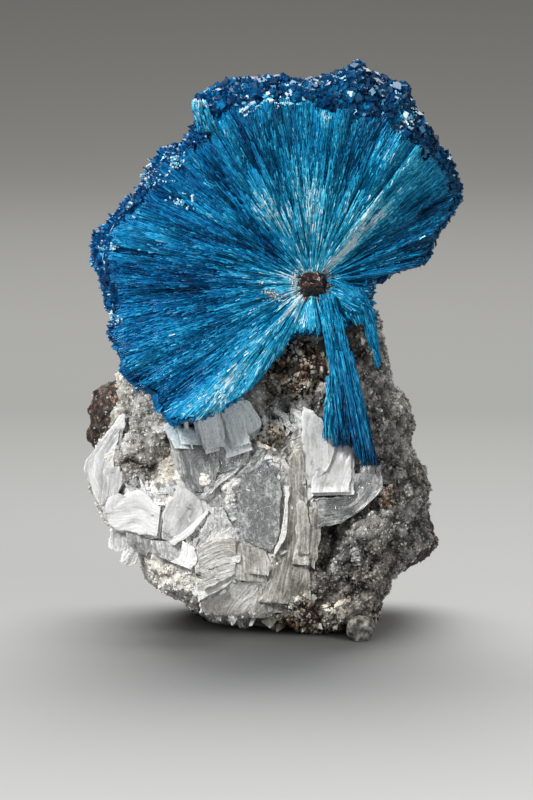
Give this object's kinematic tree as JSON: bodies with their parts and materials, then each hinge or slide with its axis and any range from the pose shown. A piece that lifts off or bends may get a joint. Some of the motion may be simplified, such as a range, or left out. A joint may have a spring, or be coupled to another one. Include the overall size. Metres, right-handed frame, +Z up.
{
  "type": "cavansite rosette on zeolite-coated basalt",
  "caption": "Blue rosette of radiating needle crystals, broken open through its middle, grown on basalt coated with grey zeolite crust and pearly and clear stilbite blades. Rests on its basalt.",
  "frame": {"origin": "on the flat patch under the basalt, below the middle of the specimen", "axes": "+Z up; +X to the right across the open face of the rosette; -Y the way the open face looks"},
  "size_m": [0.0301, 0.0234, 0.0472],
  "materials": {
    "cavansite": "silky radiating needles",
    "basalt": "dark, rough, pitted",
    "crust": "granular",
    "stilbite": "pearly",
    "clear_zeolite": "clear, slightly cloudy"
  },
  "bodies": {
    "root": {"cavansite_rosette": "cavansite", "cavansite_leg": "cavansite", "cavansite_wisp": "cavansite", "nucleus_grain": "basalt", "basalt_host": "basalt", "zeolite_crust": "crust", "white_blade": "stilbite", "white_sheaf": "stilbite", "left_sheaf": "stilbite", "lower_sheaf": "stilbite", "frosted_crystal": "stilbite", "clear_column": "clear_zeolite", "clear_plate": "clear_zeolite", "clear_blade_right": "clear_zeolite", "grey_blade": "clear_zeolite", "small_plates": "clear_zeolite"}
  },
  "joints": []
}
